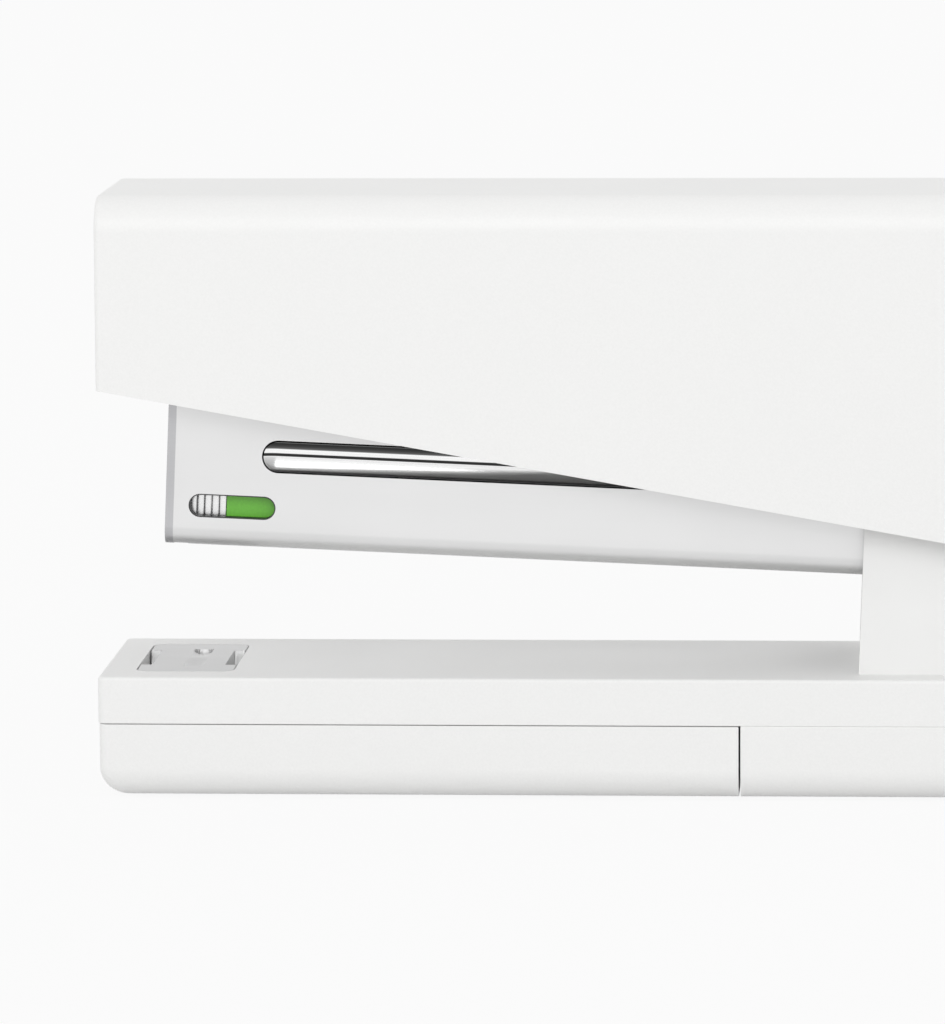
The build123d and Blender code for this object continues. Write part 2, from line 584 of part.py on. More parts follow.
with BuildPart(magazine_frame) as follower:
    end = FOLLOWER_START + FOLLOWER_LENGTH
    top = STAPLE_TOP + FOLLOWER_CROWN
    block((FOLLOWER_START, end), (-STAPLE_HALF, STAPLE_HALF), (STAPLE_BOTTOM, top))
    fillet(follower.edges().filter_by(Axis(magazine_frame.origin, magazine_frame.x_dir)), 0.6)
    block(
        (FOLLOWER_START, end),
        (-RAIL_HALF - 0.15, RAIL_HALF + 0.15),
        (STAPLE_BOTTOM, RAIL_TOP + 0.2),
        mode=Mode.SUBTRACT,
    )
    # web through the rail's slot, down to a hub that slides on the guide rod
    block((HUB_START, HUB_END), (-SLOT_HALF + 0.2, SLOT_HALF - 0.2), (ROD_RISE, top - 0.5))
    lengthwise(HUB_RADIUS, (HUB_START, HUB_END), ROD_RISE)
    lengthwise(ROD_RADIUS + RUNNING_GAP, (HUB_START, HUB_END), ROD_RISE, mode=Mode.SUBTRACT)
follower.part.label = "follower"
export_step(follower.part, "parts/follower.step")

# ---------------------------------------------------------------- cover

with BuildPart() as cover_core:
    block((COVER_FRONT + WALL, COVER_REAR - WALL), (-INNER_HALF, INNER_HALF), (SLAB_TOP, HEIGHT - WALL))
    fillet(cover_core.edges().filter_by(Axis.X).group_by(Axis.Z)[-1], COVER_TOP_ROUND - WALL)

with BuildPart() as top_cover:
    slope = radians(COVER_EDGE_DROP)
    # the lower edge runs below the pivot by this much, and meets the tail's arc behind it
    below = PIVOT_Z - COVER_EDGE_FRONT + (PIVOT_X - COVER_FRONT) * tan(slope)
    nearest = below * cos(slope)
    chord = sqrt(COVER_TAIL_RADIUS**2 - nearest**2)
    tail_x = PIVOT_X - nearest * sin(slope) + chord * cos(slope)
    tail_z = PIVOT_Z - nearest * cos(slope) - chord * sin(slope)
    tail_angle = degrees(atan2(tail_z - PIVOT_Z, tail_x - PIVOT_X))
    with BuildSketch(Plane.XZ):
        with BuildLine():
            Line((COVER_FRONT, COVER_EDGE_FRONT), (COVER_FRONT, HEIGHT))
            Line((COVER_FRONT, HEIGHT), (COVER_REAR, HEIGHT))
            Line((COVER_REAR, HEIGHT), (COVER_REAR, PIVOT_Z))
            CenterArc((PIVOT_X, PIVOT_Z), COVER_TAIL_RADIUS, tail_angle, -tail_angle)
            Line((tail_x, tail_z), (COVER_FRONT, COVER_EDGE_FRONT))
        make_face()
    extrude(amount=HALF_WIDTH, both=True)
    fillet(top_cover.edges().filter_by(Axis.X).group_by(Axis.Z)[-1], COVER_TOP_ROUND)
    front_edges = top_cover.faces().sort_by(Axis.X)[0].edges()
    fillet(front_edges.sort_by(Axis.Z)[1:], COVER_EDGE_ROUND)
    rear_edges = top_cover.faces().filter_by(Axis.X).sort_by(Axis.X)[-1].edges()
    fillet(rear_edges.sort_by(Axis.Z)[1:], COVER_EDGE_ROUND)
    # hollow, open below
    add(cover_core.part, mode=Mode.SUBTRACT)
    block(
        (COVER_REAR - 2 * WALL, REAR),
        (-INNER_HALF, INNER_HALF),
        (SLAB_TOP, COVER_DOOR_HEIGHT),
        mode=Mode.SUBTRACT,
    )
    with Locations(*COVER_SCREWS):
        upright(3.0, (FRAME_UNDERSIDE + FRAME_SHEET, HEIGHT - WALL))
        upright(COVER_SCREW_RADIUS, (FRAME_UNDERSIDE, HEIGHT - WALL - 0.8), mode=Mode.SUBTRACT)
top_cover.part.label = "top_cover"
export_step(top_cover.part, "parts/top_cover.step")

with BuildPart() as press_frame:
    with BuildSketch(Plane.XZ):
        with BuildLine():
            Polyline(
                (FRAME_FRONT, FRAME_UNDERSIDE + FRAME_SHEET),
                (FRAME_REAR, FRAME_UNDERSIDE + FRAME_SHEET),
                (FRAME_REAR, FRAME_REAR_Z),
                (PIVOT_X + FRAME_EAR_RADIUS, PIVOT_Z),
                (PIVOT_X - FRAME_EAR_RADIUS, PIVOT_Z),
                FRAME_WAIST,
                (FRAME_FRONT, FRAME_FRONT_Z),
                close=True,
            )
        make_face()
        with Locations((PIVOT_X, PIVOT_Z)):
            Circle(FRAME_EAR_RADIUS)
    extrude(amount=FRAME_HALF, both=True)
    inside = FRAME_HALF - FRAME_SIDE
    block((FRONT, REAR), (-inside, inside), (0, FRAME_UNDERSIDE), mode=Mode.SUBTRACT)
    crosswise(PIN_RADIUS + RUNNING_GAP, PIVOT_X, PIVOT_Z, (-HALF_WIDTH, HALF_WIDTH), mode=Mode.SUBTRACT)
    with Locations(*COVER_SCREWS):
        upright(COVER_SCREW_RADIUS, (FRAME_UNDERSIDE, HEIGHT), mode=Mode.SUBTRACT)
    with Locations(*FRAME_RIVETS):
        upright(RIVET_RADIUS, (FRAME_UNDERSIDE, HEIGHT), mode=Mode.SUBTRACT)
press_frame.part.label = "press_frame"
export_step(press_frame.part, "parts/press_frame.step")

with BuildPart() as cover_screws:
    with Locations(*COVER_SCREWS):
        upright(2.3, (FRAME_UNDERSIDE - HEAD_HEIGHT, FRAME_UNDERSIDE))
        upright(COVER_SCREW_RADIUS, (FRAME_UNDERSIDE, HEIGHT - WALL - 0.8))
    cross_slots(COVER_SCREWS, FRAME_UNDERSIDE - HEAD_HEIGHT)
cover_screws.part.label = "cover_screws"
export_step(cover_screws.part, "parts/cover_screws.step")

# The blade leans back at rest and comes upright in the magazine as the cover closes on it.
blade_top = (FRAME_UNDERSIDE - TAB_THICKNESS / 2 - blade_frame.origin.Z) / blade_frame.z_dir.Z
with BuildPart() as driver_blade:
    with BuildSketch(side_plane(blade_frame)):
        with Locations((BLADE_START, BLADE_END)):
            Rectangle(BLADE_THICKNESS, blade_top - BLADE_END, align=(Align.MIN, Align.MIN))
    extrude(amount=BLADE_HALF, both=True)
    tab_start = driver_blade.faces().sort_by(Axis.Z)[-1].center().X - BLADE_THICKNESS / 2
    block((tab_start, TAB_END), (-BLADE_HALF, BLADE_HALF), (FRAME_UNDERSIDE - TAB_THICKNESS, FRAME_UNDERSIDE))
    with Locations(*FRAME_RIVETS[:2]):
        upright(RIVET_RADIUS, (FRAME_UNDERSIDE - TAB_THICKNESS, FRAME_UNDERSIDE), mode=Mode.SUBTRACT)
driver_blade.part.label = "driver_blade"
export_step(driver_blade.part, "parts/driver_blade.step")

# Leaf spring: flat under the frame, then down to a curled foot on the rail end block.
block_top = magazine_frame.from_local_coords(Vector(BLOCK_END - 8.0, 0, BLOCK_TOP))
with BuildPart() as return_spring:
    leaf_top = FRAME_UNDERSIDE - LEAF_SHEET / 2
    foot_z = block_top.Z + LEAF_SHEET / 2 + LEAF_GAP
    with BuildSketch(Plane.XZ):
        with BuildLine() as leaf:
            FilletPolyline(
                (LEAF_FLAT[0], leaf_top),
                (LEAF_FLAT[1], leaf_top),
                (block_top.X - 2.0, foot_z),
                (block_top.X + 4.0, foot_z + 1.2),
                radius=LEAF_BEND,
            )
        trace(leaf.line, LEAF_SHEET)
    extrude(amount=LEAF_HALF, both=True)
    with Locations(*FRAME_RIVETS[2:]):
        upright(RIVET_RADIUS, (FRAME_UNDERSIDE - TAB_THICKNESS, FRAME_UNDERSIDE), mode=Mode.SUBTRACT)
return_spring.part.label = "return_spring"
export_step(return_spring.part, "parts/return_spring.step")

with BuildPart() as frame_rivets:
    for places, sheet in ((FRAME_RIVETS[:2], TAB_THICKNESS), (FRAME_RIVETS[2:], LEAF_SHEET)):
        with Locations(*places):
            low, high = FRAME_UNDERSIDE - sheet, FRAME_UNDERSIDE + FRAME_SHEET
            upright(RIVET_RADIUS, (low, high))
            upright(RIVET_HEAD_RADIUS, (low - RIVET_HEAD, low))
            upright(RIVET_HEAD_RADIUS, (high, high + RIVET_HEAD))
frame_rivets.part.label = "frame_rivets"
export_step(frame_rivets.part, "parts/frame_rivets.step")

# ---------------------------------------------------------------- drawer

with BuildPart() as staple_drawer:
    drawer_rear = SEAM_X - GAP / 2
    with BuildSketch(Plane.XY.offset(FOOT)):
        with Locations(((DRAWER_FRONT + drawer_rear) / 2, 0)):
            Rectangle(drawer_rear - DRAWER_FRONT, WIDTH)
    extrude(amount=DRAWER_TOP - FOOT)
    fillet(staple_drawer.edges().filter_by(Axis.Z).group_by(Axis.X)[0], PLAN_CORNER)
    fillet(staple_drawer.edges().group_by(Axis.Z)[0].filter_by(Axis.X), LOWER_ROUND)
    fillet(staple_drawer.faces().sort_by(Axis.Z)[-1].edges(), SEAM_ROUND)
    block(
        (DRAWER_FRONT + WALL, drawer_rear - WALL),
        (-INNER_HALF, INNER_HALF),
        (FLOOR_TOP, DRAWER_TOP),
        mode=Mode.SUBTRACT,
    )
    # the back is low enough to pass under the hanging rails
    block(
        (drawer_rear - 2 * WALL, drawer_rear + 1.0),
        (-INNER_HALF, INNER_HALF),
        (DRAWER_BACK_TOP, DRAWER_TOP),
        mode=Mode.SUBTRACT,
    )
    for limits in mirrored(DRAWER_LIP, INNER_HALF):
        heights = (RAIL_BOTTOM + LIP_THICKNESS + GAP, DRAWER_TOP)
        block((DRAWER_FRONT + WALL, drawer_rear - 0.6), limits, heights)
    pad_recess(DRAWER_PAD)
staple_drawer.part.label = "staple_drawer"
export_step(staple_drawer.part, "parts/staple_drawer.step")

with BuildPart() as drawer_pad:
    block(DRAWER_PAD, (-PAD_HALF, PAD_HALF), (0, PAD_THICKNESS))
    fillet(drawer_pad.edges().filter_by(Axis.Z), PAD_CORNER)
drawer_pad.part.label = "drawer_pad"
export_step(drawer_pad.part, "parts/drawer_pad.step")

with BuildPart() as drawer_catch:
    with Locations((CATCH_X, 0, 0)):
        upright(CATCH_RADIUS, (RAIL_BOTTOM - 1.1, SLAB_UNDERSIDE))
        with Locations((0, 0, SLAB_UNDERSIDE - 0.3)):
            Box(6.0, 8.0, 0.6)
drawer_catch.part.label = "drawer_catch"
export_step(drawer_catch.part, "parts/drawer_catch.step")
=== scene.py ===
"""Looks of a white desktop stapler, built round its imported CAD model.

Every length is in metres in the model's own frame: -X towards the nose, +Z up. The small helpers
come first, then the finishes, then one class for each sub-assembly, then the studio and main().
"""

import json
import logging
from dataclasses import dataclass
from enum import Enum
from math import cos, pi, radians, sin, tau
from typing import Any

import bmesh
import bpy
import numpy as np
from mathutils import Matrix, Vector

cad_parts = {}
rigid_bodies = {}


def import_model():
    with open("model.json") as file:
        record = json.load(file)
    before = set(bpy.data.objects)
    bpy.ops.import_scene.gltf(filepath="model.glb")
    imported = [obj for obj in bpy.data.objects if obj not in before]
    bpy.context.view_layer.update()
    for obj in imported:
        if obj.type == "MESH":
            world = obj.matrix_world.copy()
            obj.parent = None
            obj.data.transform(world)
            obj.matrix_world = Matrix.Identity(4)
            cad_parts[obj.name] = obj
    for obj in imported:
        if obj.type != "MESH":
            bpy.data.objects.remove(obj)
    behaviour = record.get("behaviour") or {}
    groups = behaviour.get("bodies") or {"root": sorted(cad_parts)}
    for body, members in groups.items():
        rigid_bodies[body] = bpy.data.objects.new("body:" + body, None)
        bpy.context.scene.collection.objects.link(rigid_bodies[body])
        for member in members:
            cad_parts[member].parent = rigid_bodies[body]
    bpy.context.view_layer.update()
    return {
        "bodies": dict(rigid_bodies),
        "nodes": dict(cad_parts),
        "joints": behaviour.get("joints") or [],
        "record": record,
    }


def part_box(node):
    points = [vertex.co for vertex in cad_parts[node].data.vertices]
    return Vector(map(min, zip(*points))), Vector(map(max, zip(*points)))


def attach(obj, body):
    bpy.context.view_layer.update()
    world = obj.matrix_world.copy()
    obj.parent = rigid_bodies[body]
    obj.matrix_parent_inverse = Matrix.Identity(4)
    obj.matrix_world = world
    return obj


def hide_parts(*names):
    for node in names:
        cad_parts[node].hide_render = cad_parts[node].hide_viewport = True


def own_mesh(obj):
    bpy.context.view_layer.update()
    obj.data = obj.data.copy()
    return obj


log = logging.getLogger("stapler")

MM = 0.001
MERGE = 0.0001 * MM  # points closer together than this are one
REST_TILT = radians(2.5)
ALONG = np.array([cos(REST_TILT), 0.0, -sin(REST_TILT)])
UP = np.array([sin(REST_TILT), 0.0, cos(REST_TILT)])
ACROSS = np.array([0.0, 1.0, 0.0])


class Slot(Enum):
    """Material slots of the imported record."""

    SHELL = "white_shell"
    ENAMEL = "white_enamel"
    PADS = "rubber_pads"
    SATIN = "satin_steel"
    FRAME = "frame_steel"
    ANVIL = "anvil_steel"
    SPRING = "spring_steel"
    SCREW = "screw_steel"
    STAPLE = "staple_wire"
    ACETAL = "dark_acetal"
    GREEN = "green_follower"


# ------------------------------------------------------------------ helpers


def linear(code: str) -> tuple[float, float, float, float]:
    """Turn an sRGB hex colour into linear RGBA.

    Args:
        code: six hex digits, such as "F0F0EE".

    Returns:
        Linear red, green, blue and an alpha of one.
    """
    parts = [int(code[i : i + 2], 16) / 255 for i in (0, 2, 4)]
    lin = [c / 12.92 if c <= 0.04045 else ((c + 0.055) / 1.055) ** 2.4 for c in parts]
    return (lin[0], lin[1], lin[2], 1.0)


def add_node(
    tree: bpy.types.NodeTree,
    kind: str,
    settings: dict[str | int, Any] | None = None,
    links: dict[str | int, bpy.types.NodeSocket] | None = None,
    feeds: dict[str, bpy.types.NodeSocket] | None = None,
) -> bpy.types.Node:
    """Add a shader node with its values and its links.

    Args:
        tree: node tree to add to.
        kind: Blender's node type name.
        settings: attributes or input sockets by name or number, with their values.
        links: input sockets by name or number, each with the output that feeds it.
        feeds: output sockets by name, each with the input that it feeds.

    Returns:
        The new node.
    """
    node = tree.nodes.new(kind)
    for key, value in (settings or {}).items():
        if isinstance(key, str) and hasattr(node, key):
            setattr(node, key, value)
        else:
            node.inputs[key].default_value = value
    for key, output in (links or {}).items():
        tree.links.new(output, node.inputs[key])
    for key, target in (feeds or {}).items():
        tree.links.new(node.outputs[key], target)
    return node


def grid_piece(name: str, points: np.ndarray, wrap: bool = False, caps: bool = False) -> bpy.types.Object:
    """Make a mesh from a grid of points, one quad between each four neighbours.

    Args:
        name: object name.
        points: array (rows, columns, 3) in metres.
        wrap: join each row's last column back to its first.
        caps: close the first and last rows with one face each, for a wrapped grid.

    Returns:
        The new object, linked to the scene and shaded smooth.
    """
    rows, columns = points.shape[:2]
    index = np.arange(rows * columns).reshape(rows, columns)
    after = np.roll(index, -1, axis=1) if wrap else index[:, 1:]
    before = index if wrap else index[:, :-1]
    quads = np.stack([before[:-1], before[1:], after[1:], after[:-1]], axis=-1).reshape(-1, 4)
    faces = quads.tolist()
    if caps:
        faces += [index[0].tolist(), index[-1][::-1].tolist()]
    mesh = bpy.data.meshes.new(name)
    mesh.from_pydata(points.reshape(-1, 3).tolist(), [], faces)
    mesh.validate()
    return finished(name, mesh)


def slab(name: str, face: np.ndarray, level: float) -> bpy.types.Object:
    """Close a height field with a flat back at one level: each row runs back under its two ends.

    Args:
        name: object name.
        face: (rows, columns, 3) points of the field.
        level: height of the back.

    Returns:
        The closed piece.
    """
    back = face[:, [-1, 0]].copy()
    back[..., 2] = level
    return grid_piece(name, np.concatenate([face, back], axis=1), wrap=True, caps=True)


def smooth_step(value: np.ndarray, low: float, high: float) -> np.ndarray:
    """Zero below low, one above high, and three squares less two cubes of the share between."""
    share = np.clip((value - low) / (high - low), 0, 1)
    return share**2 * (3 - 2 * share)


def finished(name: str, mesh: bpy.types.Mesh, crease: float = 35.0) -> bpy.types.Object:
    """Link a mesh as an object, turn its faces outwards and shade it smooth up to a crease angle.

    Args:
        name: object name.
        mesh: the mesh, whose points closer together than MERGE become one.
        crease: edges sharper than this stay sharp, in degrees.

    Returns:
        The new object.
    """
    work = bmesh.new()
    work.from_mesh(mesh)
    bmesh.ops.remove_doubles(work, verts=work.verts, dist=MERGE)
    bmesh.ops.recalc_face_normals(work, faces=work.faces)
    work.to_mesh(mesh)
    work.free()
    mesh.shade_smooth()
    mesh.set_sharp_from_angle(angle=radians(crease))
    piece = bpy.data.objects.new(name, mesh)
    bpy.context.scene.collection.objects.link(piece)
    return piece


def sweep(name: str, path: np.ndarray, outline: np.ndarray, sides: np.ndarray) -> bpy.types.Object:
    """Carry a closed outline along a path.

    Each path point gets the outline spanned by two directions across the path there: the given
    side direction, and the one square to both it and the path.

    Args:
        name: object name.
        path: (n, 3) centre line.
        outline: (k, 2) closed outline, first along the side direction, then square to it.
        sides: (n, 3) or (3,) side directions.

    Returns:
        The closed tube.
    """
    tangent = np.gradient(path, axis=0)
    tangent /= np.linalg.norm(tangent, axis=1, keepdims=True)
    side = np.broadcast_to(sides, path.shape)
    side = side - tangent * np.sum(side * tangent, axis=1, keepdims=True)
    side /= np.linalg.norm(side, axis=1, keepdims=True)
    square = np.cross(tangent, side)
    points = (
        path[:, None, :]
        + side[:, None, :] * outline[None, :, :1]
        + square[:, None, :] * outline[None, :, 1:]
    )
    return grid_piece(name, points, wrap=True, caps=True)


def circle(radius: float, count: int = 12) -> np.ndarray:
    """Points of a circle: the radius times the cosine and sine of evenly spaced angles."""
    angle = np.arange(count) * tau / count
    return radius * np.stack([np.cos(angle), np.sin(angle)], axis=1)


def rounded_box(width: float, height: float, corner: float, steps: int = 4) -> np.ndarray:
    """Outline of a rectangle with round corners: a quarter circle about each inner corner.

    Args:
        width: its size along the first direction.
        height: its size along the second direction.
        corner: radius of the corners.
        steps: edges in each quarter circle.

    Returns:
        (k, 2) points of the closed outline.
    """
    quarter = np.linspace(0, pi / 2, steps + 1)
    turns = np.concatenate([quarter + k * pi / 2 for k in range(4)])
    signs = np.repeat([[1, 1], [-1, 1], [-1, -1], [1, -1]], steps + 1, axis=0)
    centre = signs * [width / 2 - corner, height / 2 - corner]
    return centre + corner * np.stack([np.cos(turns), np.sin(turns)], axis=1)


@dataclass(frozen=True)
class Shop:
    """What every sub-assembly needs: the loaded frame and the finishes by slot."""

    frame: dict[str, Any]
    finishes: dict[Slot, bpy.types.Material]

    def node(self, name: str) -> bpy.types.Object:
        """CAD node by name."""
        return self.frame["nodes"][name]

    def place(
        self,
        piece: bpy.types.Object,
        body: str,
        slot: Slot,
        *replaced: str,
        look: bpy.types.Material | None = None,
    ) -> bpy.types.Object:
        """Finish a new piece.

        Args:
            piece: the piece, with its final mesh.
            body: the body that it moves with.
            slot: material slot that it takes its finish from.
            replaced: CAD nodes that it stands for.
            look: finish to use instead of the slot's own.

        Returns:
            The same piece.
        """
        piece.data.materials.clear()
        piece.data.materials.append(look or self.finishes[slot])
        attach(piece, body)
        if replaced:
            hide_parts(*replaced)
        log.info("placed %s on %s", piece.name, body)
        return piece

    def refine(self, name: str, body: str, slot: Slot, crease: float = 30.0) -> bpy.types.Object:
        """Stand a merged copy of a CAD node in its place, with its flat faces shaded flat.

        The copy's loose triangles are merged, and each corner's normal is weighted by face area,
        so that fillets shade smoothly and run cleanly into the flats beside them.

        Args:
            name: CAD node that the copy stands for.
            body: the body that it moves with.
            slot: material slot that it takes its finish from.
            crease: edges sharper than this stay sharp, in degrees.

        Returns:
            The copy.
        """
        mesh = self.node(name).data.copy()
        mesh.name = name + "_skin"
        for stale in ("custom_normal", "sharp_face", "sharp_edge"):
            layer = mesh.attributes.get(stale)
            if layer is not None:
                mesh.attributes.remove(layer)
        piece = finished(name + "_skin", mesh, crease)
        weighted = piece.modifiers.new("flat_faces", "WEIGHTED_NORMAL")
        weighted.keep_sharp = True
        weighted.weight = 100
        return self.place(piece, body, slot, name)


# ------------------------------------------------------------------ finishes


@dataclass(frozen=True)
class Finish:
    """A principled surface whose colour, gloss and height vary a little; each kind has its patterns."""

    name: str
    colour: str
    rough: tuple[float, float] = (0.3, 0.4)
    shade: tuple[float, float] = (0.98, 1.02)
    relief: float = 0.006 * MM

    def constants(self) -> dict[str, float]:
        """Values set directly on the shader's sockets."""
        return {}

    def patterns(self, tree: bpy.types.NodeTree) -> tuple[bpy.types.NodeSocket, ...]:
        """Three patterns from zero to one: for the colour, for the roughness and for the height."""
        raise NotImplementedError

    def stops(self) -> tuple[tuple[float, float], ...]:
        """The colour ramp: places along the first pattern, each with its share of the colour."""
        return tuple(zip((0.3, 0.7), self.shade))

    def noise(
        self, tree: bpy.types.NodeTree, grain: tuple[float, float, float], detail: float
    ) -> bpy.types.NodeSocket:
        """Noise on the piece's own coordinates.

        Args:
            tree: the material's node tree.
            grain: size of the pattern along X, Y and Z, in metres.
            detail: how many finer layers lie over it.

        Returns:
            The pattern, from zero to one.
        """
        spot = add_node(tree, "ShaderNodeTexCoord").outputs["Object"]
        scaled = add_node(tree, "ShaderNodeMapping", {"Scale": tuple(1 / g for g in grain)}, {"Vector": spot})
        noise = add_node(
            tree, "ShaderNodeTexNoise", {"Scale": 1.0, "Detail": detail}, {"Vector": scaled.outputs["Vector"]}
        )
        return noise.outputs["Fac"]

    def build(self) -> bpy.types.Material:
        """Make the material from the constants and the three patterns.

        Returns:
            The material, with its colour ramp, its roughness range and its bump.
        """
        material = bpy.data.materials.new(self.name)
        material.use_nodes = True
        tree = material.node_tree
        shader = tree.nodes["Principled BSDF"]
        for key, value in self.constants().items():
            shader.inputs[key].default_value = value
        tint, gloss, height = self.patterns(tree)
        ramp = add_node(tree, "ShaderNodeValToRGB", {}, {"Fac": tint}, {"Color": shader.inputs["Base Color"]})
        base = np.array(linear(self.colour)[:3])
        stops, elements = self.stops(), ramp.color_ramp.elements
        for place, _ in stops[2:]:
            elements.new(place)
        for stop, (place, share) in zip(elements, stops):
            stop.position = place
            stop.color = (*np.minimum(base * share, 1.0), 1.0)
        span = {"From Min": 0.3, "From Max": 0.7, "To Min": self.rough[0], "To Max": self.rough[1]}
        add_node(tree, "ShaderNodeMapRange", span, {"Value": gloss}, {"Result": shader.inputs["Roughness"]})
        depth = {"Strength": 0.6, "Distance": self.relief}
        add_node(tree, "ShaderNodeBump", depth, {"Height": height}, {"Normal": shader.inputs["Normal"]})
        return material


@dataclass(frozen=True)
class MouldedPlastic(Finish):
    """Injection-moulded plastic from a spark-eroded tool: an even colour under a fine grit."""

    grit: float = 0.24 * MM
    ior: float = 1.53

    def constants(self) -> dict[str, float]:
        """The plastic's refractive index."""
        return {"IOR": self.ior}

    def patterns(self, tree: bpy.types.NodeTree) -> tuple[bpy.types.NodeSocket, ...]:
        """Grit in colour and height; slow clouds in the gloss, where the tool was worn."""
        grain = self.noise(tree, (self.grit,) * 3, 3.0)
        return grain, self.noise(tree, (14 * MM,) * 3, 2.0), grain


@dataclass(frozen=True)
class Enamel(Finish):
    """Enamel sprayed on folded steel: smoother than the mouldings, with a faint orange peel."""

    peel: float = 1.1 * MM

    def constants(self) -> dict[str, float]:
        """A thin clear gloss over the pigment."""
        return {"IOR": 1.5, "Coat Weight": 0.25, "Coat Roughness": 0.18}

    def patterns(self, tree: bpy.types.NodeTree) -> tuple[bpy.types.NodeSocket, ...]:
        """Low waves about a millimetre apart in the height, slower clouds in colour and gloss."""
        cloud = self.noise(tree, (9 * MM,) * 3, 2.0)
        return cloud, cloud, self.noise(tree, (self.peel,) * 3, 1.5)


@dataclass(frozen=True)
class PlatedSteel(Finish):
    """Rolled sheet or drawn wire under plating: lines along the steel, clouds in the plating.

    The lines are drawn about twice as wide as the rolls leave them, so that they show.
    """

    line: float = 0.09 * MM
    length: float = 9.0 * MM

    def constants(self) -> dict[str, float]:
        """A bare metal surface."""
        return {"Metallic": 1.0}

    def patterns(self, tree: bpy.types.NodeTree) -> tuple[bpy.types.NodeSocket, ...]:
        """Clouds in the colour; long lines along X in both gloss and height."""
        lines = self.noise(tree, (self.length, self.line, self.line), 3.0)
        return self.noise(tree, (22 * MM, 9 * MM, 9 * MM), 2.0), lines, lines


@dataclass(frozen=True)
class GroovePaintedReflection(PlatedSteel):
    """Polished nickel with painted reflections, whose tone runs in bands along the groove.

    It has painted shade under the upper rim, then come a painted highlight band and a thin painted
    dark line, and then an even light grey painted reflection that darkens at the lower rim into
    painted shade. The tone depends on the height across the groove, from zero at its lower rim to
    one at its upper rim.
    """

    rims: tuple[float, float] = (0.0, 1.0)

    def stops(self) -> tuple[tuple[float, float], ...]:
        """Shares of the polished nickel's brightness in its painted reflection bands, from the lower rim to
        the upper one.
        """
        # Painted shade at both rims and painted reflections between them, from the lower rim upwards.
        lower_rim_painted_shade = ((0.0, 0.12), (0.05, 0.2))
        painted_light_grey_reflection = ((0.09, 0.56), (0.18, 0.58), (0.36, 0.6), (0.46, 0.7), (0.5, 0.95))
        painted_dark_line_reflection = ((0.515, 0.04), (0.6, 0.03))
        painted_highlight_band = ((0.62, 0.98), (0.75, 1.0))
        upper_rim_painted_shade = ((0.775, 0.14), (0.86, 0.06), (0.96, 0.03), (1.0, 0.2))
        return lower_rim_painted_shade + painted_light_grey_reflection + painted_dark_line_reflection + painted_highlight_band + upper_rim_painted_shade

    def patterns(self, tree: bpy.types.NodeTree) -> tuple[bpy.types.NodeSocket, ...]:
        """The height across the groove for the colour's painted reflection bands; the plating's own lines for
        the rest.

        The height is the dot product of a point with the magazine's upward direction.

        Args:
            tree: the material's node tree.

        Returns:
            Patterns for the colour, for the roughness and for the height.
        """
        spot = add_node(tree, "ShaderNodeTexCoord").outputs["Object"]
        up = {"operation": "DOT_PRODUCT", 1: tuple(UP.tolist())}
        level = add_node(tree, "ShaderNodeVectorMath", up, {0: spot}).outputs["Value"]
        span = {"From Min": self.rims[0], "From Max": self.rims[1]}
        share = add_node(tree, "ShaderNodeMapRange", span, {"Value": level}).outputs["Result"]
        _, gloss, lines = super().patterns(tree)
        return share, gloss, lines


# Colour, then the least and most roughness, then the least and most share of the colour, then the
# height of the relief. Spark-eroded mouldings are even and softly matt, enamel is a little glossier
# with a faint orange peel, and plated steel shows the mill's long lines and a satin or bright sheen.
FINISHES: dict[Slot, Finish] = {
    Slot.SHELL: MouldedPlastic("white_moulded_abs", "F3F3F2", (0.38, 0.47), (0.985, 1.012), 0.012 * MM),
    Slot.ENAMEL: Enamel("white_enamel", "F2F2F1", (0.33, 0.4), (0.99, 1.01), 0.01 * MM),
    Slot.PADS: MouldedPlastic("grey_rubber", "8C8C8E", (0.66, 0.8), (0.9, 1.06), 0.02 * MM, ior=1.45),
    Slot.SATIN: PlatedSteel("satin_nickel_sheet", "DDDDDD", (0.36, 0.42), (0.975, 1.02), 0.004 * MM),
    Slot.FRAME: PlatedSteel("zinc_plated_sheet", "B9B9BB", (0.32, 0.46), (0.94, 1.04), 0.005 * MM),
    Slot.ANVIL: PlatedSteel("plated_anvil_steel", "D9D9D9", (0.36, 0.46), (0.96, 1.02), length=3 * MM),
    Slot.SPRING: PlatedSteel("bright_spring_wire", "B4B5B8", (0.2, 0.3), (0.93, 1.05), length=1.5 * MM),
    Slot.SCREW: PlatedSteel("zinc_plated_screws", "C2C3C6", (0.24, 0.34), (0.94, 1.04), length=1 * MM),
    Slot.STAPLE: PlatedSteel("galvanised_staple_wire", "E4E4E4", (0.22, 0.32), (0.95, 1.02), length=1.2 * MM),
    Slot.ACETAL: MouldedPlastic("dark_acetal", "2B2B2D", (0.34, 0.44), (0.93, 1.05), ior=1.48),
    Slot.GREEN: MouldedPlastic("green_moulded_abs", "76D040", (0.28, 0.36), (0.95, 1.04), 0.005 * MM),
}
# A dark, dull steel finish for the sleeve in each window's edge: a painted shadow line round the window.
WINDOW_SHADOW_LINE = PlatedSteel("window_painted_shadow_line", "4A4A4B", (0.45, 0.6), (0.9, 1.1), length=1 * MM)


# ------------------------------------------------------------------ sub-assemblies


@dataclass(frozen=True)
class Lie:
    """How the magazine lies at rest: it leans back from its pivot, nose up."""

    pivot: np.ndarray
    reach: float = 133.73 * MM
    rise: float = 5.08 * MM

    def point(self, along: float, height: float) -> np.ndarray:
        """Point on the middle plane, from its distance behind the nose and over the underside."""
        return self.pivot + ALONG * (along - self.reach) + UP * (height - self.rise)


